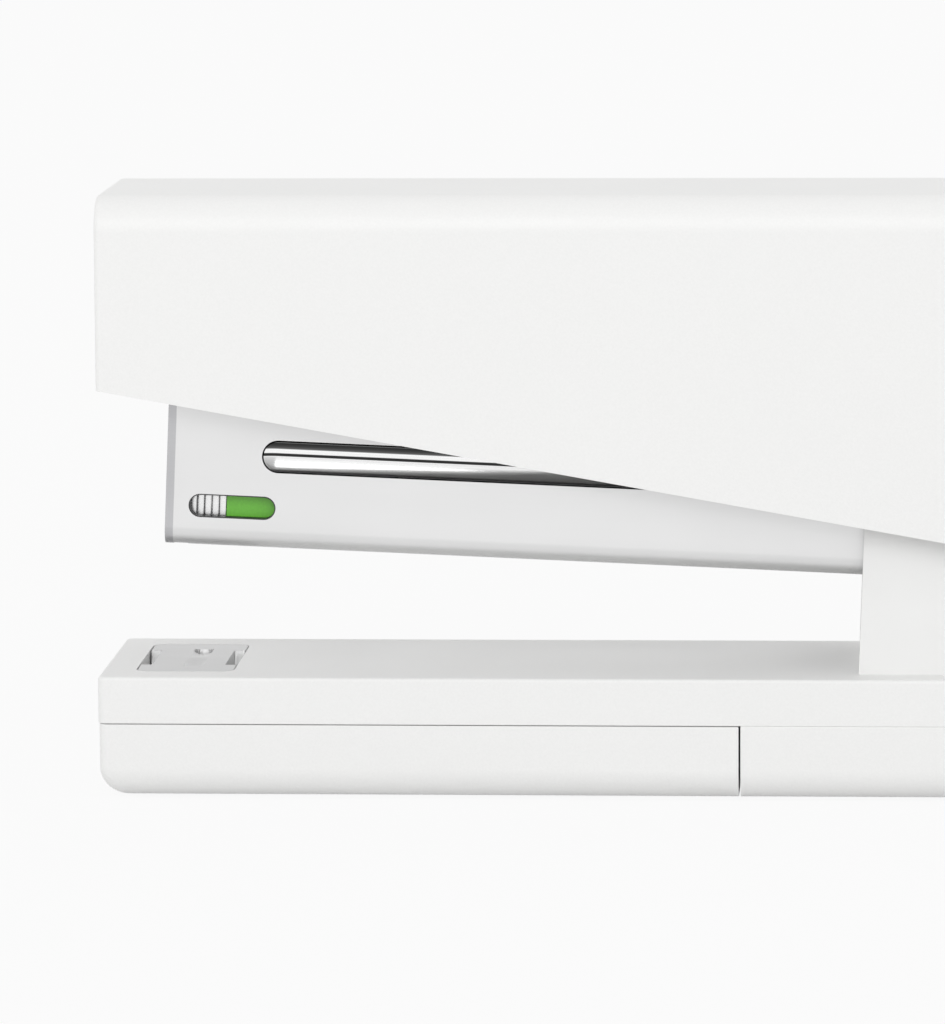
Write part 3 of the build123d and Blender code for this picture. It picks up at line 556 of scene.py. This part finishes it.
@dataclass(frozen=True)
class Coil:
    """A helical compression spring with flat end turns.

    A point at angle a lies on a circle about the axis, and its height rises with a, slowly over
    the first and last turns and evenly between them.
    """

    start: np.ndarray
    axis: np.ndarray
    length: float
    radius: float
    wire: float
    turns: int
    steps: int = 20
    flat: float = 0.85
    closed_pitch: float = 2.04

    def build(self, name: str) -> bpy.types.Object:
        """Sweep the wire's circle along the helix.

        Args:
            name: object name.

        Returns:
            The closed spring.
        """
        angle = np.linspace(0, tau * self.turns, self.turns * self.steps + 1)
        turn = angle / tau
        open_turns = self.turns - 2 * self.flat
        rise = np.clip(turn - self.flat, 0, open_turns) / open_turns
        closed = self.wire * self.closed_pitch
        low, high = np.minimum(turn, 1), np.minimum(self.turns - turn, 1)
        height = self.wire + closed * 0.5 * low + (self.length - 2 * self.wire - closed) * rise
        height += closed * 0.5 * (1 - high)
        first = ACROSS
        second = np.cross(self.axis, first)
        spoke = first * np.cos(angle)[:, None] + second * np.sin(angle)[:, None]
        path = self.start + self.axis * height[:, None] + spoke * self.radius
        return sweep(name, path, circle(self.wire, 8), np.broadcast_to(self.axis, path.shape))


@dataclass(frozen=True)
class FootPad:
    """A rubber pad in the underside, with grooves across it that grip the desk."""

    low: Vector
    high: Vector
    corner: float = 1.5 * MM
    groove_pitch: float = 2.4 * MM
    groove_depth: float = 0.3 * MM
    margin: tuple[float, float] = (0.9 * MM, 1.6 * MM)
    side_margin: tuple[float, float] = (0.04, 0.12)

    def build(self, name: str) -> bpy.types.Object:
        """Raise grooves over a rounded rectangle and close it with a flat top.

        Along the pad the underside's height is a row of round-bottomed grooves, the depth times a
        high power of a cosine, faded out near the edges. The half width shrinks round the
        corners by a quarter circle.

        Args:
            name: object name.

        Returns:
            The closed pad.
        """
        x = np.linspace(self.low.x, self.high.x, 320)
        inset = np.minimum(x - self.low.x, self.high.x - x)
        gap = np.clip(1 - inset / self.corner, 0, 1)
        half = self.high.y - self.corner * (1 - np.sqrt(1 - gap**2))
        share = np.linspace(-1, 1, 41)
        y = half[:, None] * share
        wave = np.cos((x - self.low.x) * pi / self.groove_pitch) ** 6
        wave *= smooth_step(inset, *self.margin)
        fade = smooth_step(1 - np.abs(share), *self.side_margin)
        z = self.low.z + self.groove_depth * wave[:, None] * fade
        return slab(name, np.stack([np.broadcast_to(x[:, None], y.shape), y, z], axis=-1), self.high.z)


@dataclass(frozen=True)
class Anvil:
    """The plate that closes the staples: two pockets that turn the legs inwards, and two notches."""

    low: Vector
    high: Vector
    corner: float = 1.5 * MM
    edge: float = 0.12 * MM
    pocket_centre: float = 0.55 * MM
    pocket_half: float = 0.98 * MM
    pocket_inner: float = 0.35 * MM
    pocket_outer: float = 5.5 * MM
    pocket_depth: float = 0.4 * MM
    slot: float = 0.5 * MM
    slot_depth: float = 1.0 * MM
    slot_slope: float = 0.3 * MM
    bow: float = 0.3 * MM
    wall: float = 0.06 * MM
    notch: float = 1.1 * MM
    notch_half: float = 4.65 * MM
    notch_floor: float = 0.05 * MM
    notch_slope: tuple[float, float] = (0.09 * MM, 0.12 * MM)

    def pockets(self, x: np.ndarray, y: np.ndarray) -> np.ndarray:
        """Depth of the pockets: a half ellipse across, times a ramp that deepens outwards.

        The ramp ends in a deep slot with a steep outer wall, which bows outwards at both sides.

        Args:
            x: distance from the pockets' centre line.
            y: distance from the plate's middle.

        Returns:
            The depth at each point.
        """
        side = np.clip(np.abs(x) / self.pocket_half, 0, 1)
        reach = np.abs(y) - self.bow * side**2
        ramp = np.clip((reach - self.pocket_inner) / (self.pocket_outer - self.pocket_inner), 0, 1)
        wall = 1 - smooth_step(reach, self.pocket_outer - self.wall, self.pocket_outer)
        inner = self.pocket_outer - self.slot
        slot = smooth_step(reach, inner - self.slot_slope, inner)
        shape = self.pocket_depth * np.sqrt(1 - side**2) * np.sin(ramp * pi / 2)
        return (shape + self.slot_depth * slot * (side < 0.97)) * wall

    def notches(self, x: np.ndarray, y: np.ndarray) -> np.ndarray:
        """Depth of the notches: almost the plate's thickness, within a rectangle at each long edge.

        Args:
            x: distance from the plate's middle along the stapler.
            y: distance from the plate's middle across it.

        Returns:
            The depth at each point.
        """
        depth = self.high.z - self.low.z - self.notch_floor
        far = self.high.x - (self.low.x + self.high.x) / 2 - np.abs(x)
        inside = 1 - smooth_step(far, self.notch, self.notch + self.notch_slope[0])
        beside = 1 - smooth_step(np.abs(y), self.notch_half, self.notch_half + self.notch_slope[1])
        return depth * inside * beside

    def build(self, name: str) -> bpy.types.Object:
        """Sink the pockets, the notches and a rounded edge into a rounded rectangle.

        The rounded edge is a quarter circle that falls away from the top within its own radius.

        Args:
            name: object name.

        Returns:
            The closed plate.
        """
        middle = (self.low.x + self.high.x) / 2
        x = np.linspace(self.low.x, self.high.x, 150)
        inset = np.minimum(x - self.low.x, self.high.x - x)
        gap = np.clip(1 - inset / self.corner, 0, 1)
        half = self.high.y - self.corner * (1 - np.sqrt(1 - gap**2))
        y = half[:, None] * np.linspace(-1, 1, 220)
        x = np.broadcast_to(x[:, None], y.shape)
        rim = np.minimum(inset[:, None], half[:, None] - np.abs(y))
        rim = self.edge - np.clip(rim, 0, self.edge)
        round_edge = self.edge - np.sqrt(np.clip(self.edge**2 - rim**2, 0, None))
        depth = np.maximum(self.pockets(x - middle - self.pocket_centre, y), self.notches(x - middle, y))
        z = self.high.z - np.maximum(depth, round_edge)
        return slab(name, np.stack([x, y, z], axis=-1), self.low.z)


@dataclass
class Base:
    """The desk base: white slab, rear cover, anvil, pads and the parts fixed to them."""

    shop: Shop

    def build(self) -> None:
        """Refine the mouldings and steel parts, coin the anvil and mould the rear pad."""
        for name in ("base_slab", "rear_base_cover"):
            self.shop.refine(name, "base", Slot.SHELL)
        anvil = Anvil(*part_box("anvil_plate"))
        self.shop.place(anvil.build("anvil_face"), "base", Slot.ANVIL, "anvil_plate")
        self.shop.refine("stiffener_plate", "base", Slot.FRAME)
        self.shop.refine("drawer_catch", "base", Slot.FRAME)
        for name in ("anvil_screw", "base_cover_screws", "stop_pin"):
            self.shop.refine(name, "base", Slot.SCREW)
        pad = FootPad(*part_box("rear_foot_pad"))
        self.shop.place(pad.build("rear_pad_rubber"), "base", Slot.PADS, "rear_foot_pad")


@dataclass
class Hinge:
    """The folded bracket with its pin, and the spring that lifts the magazine."""

    shop: Shop
    wire: float = 0.4 * MM
    turns: int = 4
    pressed: float = 0.34

    def build(self) -> None:
        """Refine the bracket and its fixings, and wind the lift spring."""
        self.shop.refine("hinge_bracket", "base", Slot.ENAMEL)
        for name in ("bracket_screws", "pivot_pin", "pivot_clips"):
            self.shop.refine(name, "base", Slot.SCREW)
        low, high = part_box("lift_spring")
        foot = np.array([(low.x + high.x) / 2, 0.0, low.z])
        radius = (high.x - low.x) / 2 - self.wire
        coil = Coil(foot, np.array([0.0, 0.0, 1.0]), high.z - low.z, radius, self.wire, self.turns)
        spring = self.shop.place(coil.build("lift_coil"), "base", Slot.SPRING, "lift_spring")
        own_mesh(spring)


@dataclass(frozen=True)
class Groove:
    """The polished groove coined into each side of the magazine."""

    lie: Lie
    start: float = 9.79 * MM
    end: float = 96.25 * MM
    height: float = 9.48 * MM
    half: float = 1.5 * MM
    depth: float = 0.5 * MM
    wall: float = 7.9 * MM
    skin: float = 0.1 * MM
    proud: float = 0.02 * MM

    def reflection_paint(self) -> bpy.types.Material:
        """The groove's own finish, whose painted reflection bands lie between its two rims.

        Returns:
            The material.
        """
        middle = float(self.lie.point(0.0, self.height) @ UP)
        rims = (middle - self.half, middle + self.half)
        # The bands are painted reflections and painted shade, set by height across the groove.
        finish = GroovePaintedReflection("polished_nickel_painted_reflection", "FBFBFB", (0.18, 0.24), relief=0.0004 * MM, rims=rims)
        return finish.build()

    def build(self, name: str, side: int) -> bpy.types.Object:
        """Line the groove with a thin polished skin.

        The groove is the part of a round-ended cylinder that sinks into the wall. A point of it
        lies at one radius from the cylinder's straight axis, in a direction that leans away from
        the wall by an angle and turns once round the groove's outline. The skin's rows run from
        the groove's deepest line out to its rim and back behind the wall's face.

        Args:
            name: object name.
            side: -1 or 1, the sign of Y.

        Returns:
            The closed skin.
        """
        radius = (self.half**2 + self.depth**2) / (2 * self.depth)
        out = radius - self.depth
        ends = np.linspace(0, pi, 25)
        straight = np.linspace(0, 1, 60)[1:-1]
        turn = np.concatenate([ends - pi / 2, np.full(58, pi / 2), ends + pi / 2, np.full(58, 3 * pi / 2)])
        low, high = self.start + self.half, self.end - self.half
        run = (high - low) * straight
        spot = np.concatenate([np.full(25, high), high - run, np.full(25, low), low + run])
        face, back = radius - self.proud, radius + self.skin
        lean = np.linspace(0, np.arccos(out / face), 25)
        behind = np.linspace(np.arccos(out / back), 0, 7)
        levels = [(face, a) for a in lean] + [(back, a) for a in behind]
        reach = np.array([r * sin(a) for r, a in levels])[:, None]
        sink = np.array([r * cos(a) for r, a in levels])[:, None]
        along = spot + reach * np.cos(turn)
        rise = self.height + reach * np.sin(turn)
        across = side * (self.wall + out - sink) + 0 * along
        points = (
            self.lie.point(0.0, 0.0)
            + ALONG * along[..., None]
            + UP * rise[..., None]
            + ACROSS * across[..., None]
        )
        return grid_piece(name, points, wrap=True)


@dataclass(frozen=True)
class WindowShadowLine:
    """A thin dark sleeve in the window's stamped edge: a painted shadow line round the window."""

    lie: Lie
    start: float = 2.35 * MM
    end: float = 11.17 * MM
    height: float = 4.18 * MM
    radius: float = 1.18 * MM
    wall: float = 7.9 * MM
    proud: float = 0.012 * MM
    width: float = 0.1 * MM
    sunk: float = 1.1 * MM

    def build(self, name: str, side: int) -> bpy.types.Object:
        """Line the window's wall with a thin sleeve.

        The sleeve's section is a rectangle that follows the window's outline: two straights with
        a half circle at each end.

        Args:
            name: object name.
            side: -1 or 1, the sign of Y.

        Returns:
            The closed sleeve.
        """
        arc = np.linspace(-pi / 2, pi / 2, 17)
        turn = np.concatenate([arc, arc + pi])
        spot = np.repeat([self.end - self.radius, self.start + self.radius], 17)
        hidden, inner = self.radius + 0.01 * MM, self.radius - self.width
        face, back = self.wall + self.proud, self.wall - self.sunk
        section = np.array([[inner, face], [hidden, face], [hidden, back], [inner, back], [inner, face]])
        along = spot + section[:, :1] * np.cos(turn)
        rise = self.height + section[:, :1] * np.sin(turn)
        across = side * section[:, 1:] + 0 * along
        points = self.lie.point(0.0, 0.0) + ALONG * along[..., None] + UP * rise[..., None]
        return grid_piece(name, points + ACROSS * across[..., None], wrap=True)


@dataclass(frozen=True)
class Staple:
    """One staple: a flat crown between two legs, bent from rectangular wire."""

    lie: Lie
    half: float = 6.45 * MM
    low: float = 1.6 * MM
    high: float = 7.6 * MM
    along: float = 0.72 * MM
    sheet: float = 0.5 * MM
    bend: float = 0.75 * MM
    edge: float = 0.14 * MM

    def build(self, name: str, start: float) -> bpy.types.Object:
        """Carry the wire's rounded rectangle up one leg, over the crown and down the other.

        Args:
            name: object name.
            start: distance of the staple's front behind the nose.

        Returns:
            The staple.
        """
        mid = self.sheet / 2
        side, top = self.half - mid, self.high - mid
        arc = np.linspace(0, pi / 2, 7)
        middle = np.array([side - self.bend, top - self.bend])
        corner = middle + self.bend * np.stack([np.cos(arc), np.sin(arc)], axis=1)
        leg = np.array([[side, self.low], [side, self.low + 0.1 * MM]])
        right = np.concatenate([leg, corner])
        outline = np.concatenate([right, right[::-1] * [-1, 1]])
        path = self.lie.point(start + self.along / 2, 0.0) + ACROSS * outline[:, :1] + UP * outline[:, 1:]
        return sweep(name, path, rounded_box(self.along, self.sheet, self.edge), ALONG)


@dataclass
class Magazine:
    """The sheet-steel channel with its nose, rail, staples, rod and springs."""

    shop: Shop
    lie: Lie
    staples: int = 5
    first: float = 2.32 * MM
    pitch: float = 0.756 * MM
    spring_start: float = 14.05 * MM
    spring_end: float = 112.0 * MM
    spring_height: float = 3.8 * MM
    spring_radius: float = 1.65 * MM
    spring_wire: float = 0.35 * MM
    spring_turns: int = 32
    pressed: float = 0.265

    def build(self) -> None:
        """Refine the steel parts, line the grooves with polished skins that carry painted reflections, edge
        the windows with a painted shadow line, bend the staples and wind the spring.
        """
        self.shop.refine("magazine_channel", "magazine", Slot.SATIN)
        for name in ("nose_plate", "staple_rail", "rail_end_block"):
            self.shop.refine(name, "magazine", Slot.FRAME)
        for name in ("guide_rod", "channel_rivets"):
            self.shop.refine(name, "magazine", Slot.SCREW)
        self.shop.refine("magazine_bushes", "magazine", Slot.ACETAL)
        groove, edge = Groove(self.lie), WindowShadowLine(self.lie)
        reflection_paint, shadow_line_paint = groove.reflection_paint(), WINDOW_SHADOW_LINE.build()
        for word, side in (("right", -1), ("left", 1)):
            # Groove skins carry painted reflection bands; window sleeves carry a painted shadow line.
            self.shop.place(groove.build(f"groove_{word}", side), "magazine", Slot.SATIN, look=reflection_paint)
            self.shop.place(edge.build(f"window_shadow_line_{word}", side), "magazine", Slot.SATIN, look=shadow_line_paint)
        for index in range(self.staples):
            one = Staple(self.lie).build(f"staple_{index + 1}", self.first + index * self.pitch)
            self.shop.place(one, "magazine", Slot.STAPLE, "staple_strip")
        start = self.lie.point(self.spring_start, self.spring_height)
        end = self.lie.point(self.spring_end, self.spring_height)
        length = self.spring_end - self.spring_start
        coil = Coil(start, ALONG, length, self.spring_radius, self.spring_wire, self.spring_turns, 14)
        spring = self.shop.place(coil.build("follower_coil"), "magazine", Slot.SPRING, "follower_spring")
        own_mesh(spring)


@dataclass
class Follower:
    """The green slider that pushes the staples to the nose."""

    shop: Shop

    def build(self) -> None:
        """Refine the moulding."""
        self.shop.refine("follower", "follower", Slot.GREEN)


@dataclass
class Cover:
    """The white top cover with the steel frame that presses the driver."""

    shop: Shop

    def build(self) -> None:
        """Refine the shell, the frame, the driver, the leaf spring and their fixings."""
        self.shop.refine("top_cover", "cover", Slot.SHELL)
        self.shop.refine("press_frame", "cover", Slot.FRAME)
        self.shop.refine("driver_blade", "cover", Slot.SATIN)
        self.shop.refine("return_spring", "cover", Slot.SPRING)
        for name in ("frame_rivets", "cover_screws"):
            self.shop.refine(name, "cover", Slot.SCREW)


@dataclass
class Drawer:
    """The sliding tray for spare staples under the slab, with its own pad."""

    shop: Shop

    def build(self) -> None:
        """Refine the tray and mould its pad."""
        self.shop.refine("staple_drawer", "drawer", Slot.SHELL)
        pad = FootPad(*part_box("drawer_pad"))
        self.shop.place(pad.build("drawer_pad_rubber"), "drawer", Slot.PADS, "drawer_pad")


# ------------------------------------------------------------------ studio


@dataclass
class Studio:
    """A white room: bright at the horizon, dimmer overhead, with soft lights in front."""

    horizon: float = 0.98
    zenith: float = 0.72
    glow: float = 0.97
    glow_share: float = 0.94
    top: str = "F8F8F8"
    bounce: str = "E4E4E4"
    drop: float = 0.2 * MM
    reach: float = 6.0

    def world(self) -> None:
        """Light that fades with height: its strength falls from the horizon to the zenith."""
        world = bpy.data.worlds.new("white_room")
        bpy.context.scene.world = world
        world.use_nodes = True
        tree = world.node_tree
        background = tree.nodes["Background"]
        background.inputs["Color"].default_value = (1, 1, 1, 1)
        sky = add_node(tree, "ShaderNodeTexCoord").outputs["Generated"]
        height = add_node(tree, "ShaderNodeSeparateXYZ", {}, {"Vector": sky}).outputs["Z"]
        fade = {"From Min": 0.0, "From Max": 1.0, "To Min": self.horizon, "To Max": self.zenith}
        strength = background.inputs["Strength"]
        add_node(tree, "ShaderNodeMapRange", fade, {"Value": height}, {"Result": strength})

    def sheet(self, name: str, level: float, colour: str, glow: float = 0.0) -> bpy.types.Object:
        """A square matt stage sheet under the object, with as much glow of its own as is given.

        Args:
            name: object and material name.
            level: its height.
            colour: sRGB hex colour of the matt surface.
            glow: share of the surface that glows instead.

        Returns:
            The sheet.
        """
        edges = (-self.reach, self.reach)
        along, across = np.meshgrid(edges, edges, indexing="ij")
        flat = grid_piece(name, np.stack([along, across, level + 0 * along], axis=-1))
        material = bpy.data.materials.new(name)
        material.use_nodes = True
        tree = material.node_tree
        shader = tree.nodes["Principled BSDF"]
        shader.inputs["Base Color"].default_value = linear(colour)
        shader.inputs["Roughness"].default_value = 0.9
        shader.inputs["Specular IOR Level"].default_value = 0.0
        lamp = add_node(tree, "ShaderNodeEmission", {"Strength": self.glow})
        mixed = add_node(tree, "ShaderNodeMixShader", {"Fac": glow})
        tree.links.new(shader.outputs["BSDF"], mixed.inputs[1])
        tree.links.new(lamp.outputs["Emission"], mixed.inputs[2])
        tree.links.new(mixed.outputs["Shader"], tree.nodes["Material Output"].inputs["Surface"])
        flat.data.materials.append(material)
        return flat

    def table(self) -> None:
        """A white table that glows, so that only the closest contact leaves a shadow.

        The light that it throws back on the object comes from a matt sheet just under it, which
        takes the object's shadow.
        """
        seen = self.sheet("studio_floor", 0.0, self.top, self.glow_share)
        seen.visible_diffuse = seen.visible_shadow = False
        felt = self.sheet("table_bounce", -self.drop, self.bounce)
        felt.visible_camera = felt.visible_glossy = False

    def soft_light(self, name: str, spot: tuple[float, float, float], size: float, power: float) -> None:
        """A square soft light that faces the object.

        Args:
            name: light name.
            spot: where it stands, in metres.
            size: side of the square, in metres.
            power: in watts.
        """
        light = bpy.data.lights.new(name, "AREA")
        light.size = size
        light.energy = power
        lamp = bpy.data.objects.new(name, light)
        lamp.location = spot
        lamp.rotation_euler = (-Vector(spot)).to_track_quat("-Z", "Y").to_euler()
        lamp.visible_camera = False
        bpy.context.scene.collection.objects.link(lamp)

    def build(self) -> None:
        """Set up the room, the table and the lights."""
        self.world()
        self.table()
        self.soft_light("front_softbox", (-0.1, -1.2, 0.7), 0.6, 3.3)
        self.soft_light("low_softbox", (-0.1, -1.4, 0.3), 0.6, 0.6)
        bpy.context.scene.view_settings.view_transform = "Standard"


@dataclass
class ViewCamera:
    """A long lens from just above the near side, turned a little towards the nose."""

    spot: tuple[float, float, float] = (0.0028, -0.6706, 0.1159)
    pitch: float = 7.484
    yaw: float = 3.568
    roll: float = -0.334
    lens: float = 233.3
    sensor: float = 36.0
    clip: tuple[float, float] = (0.01, 50.0)

    def build(self) -> None:
        """Place the camera: roll about its view, then tilt down, then turn about the vertical."""
        data = bpy.data.cameras.new("view")
        data.lens = self.lens
        data.sensor_width = self.sensor
        data.clip_start, data.clip_end = self.clip
        camera = bpy.data.objects.new("view", data)
        turned = Matrix.Rotation(radians(self.yaw), 4, "Z")
        tilted = Matrix.Rotation(radians(90 - self.pitch), 4, "X")
        rolled = Matrix.Rotation(radians(self.roll), 4, "Z")
        camera.matrix_world = Matrix.Translation(self.spot) @ turned @ tilted @ rolled
        bpy.context.scene.collection.objects.link(camera)
        bpy.context.scene.camera = camera


def main() -> None:
    """Build each sub-assembly round the frame, then the studio."""
    logging.basicConfig(level=logging.INFO, format="%(name)s: %(message)s")
    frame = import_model()
    shop = Shop(frame, {slot: finish.build() for slot, finish in FINISHES.items()})
    tilt = next(joint for joint in frame["joints"] if joint["name"] == "magazine_tilt")
    magazine = Magazine(shop, Lie(np.array(tilt["pos_m"])))
    for part in (Base(shop), Hinge(shop), magazine, Follower(shop), Cover(shop), Drawer(shop)):
        part.build()
        log.info("built %s", type(part).__name__)
    Studio().build()
    ViewCamera().build()


if __name__ == "__main__":
    main()
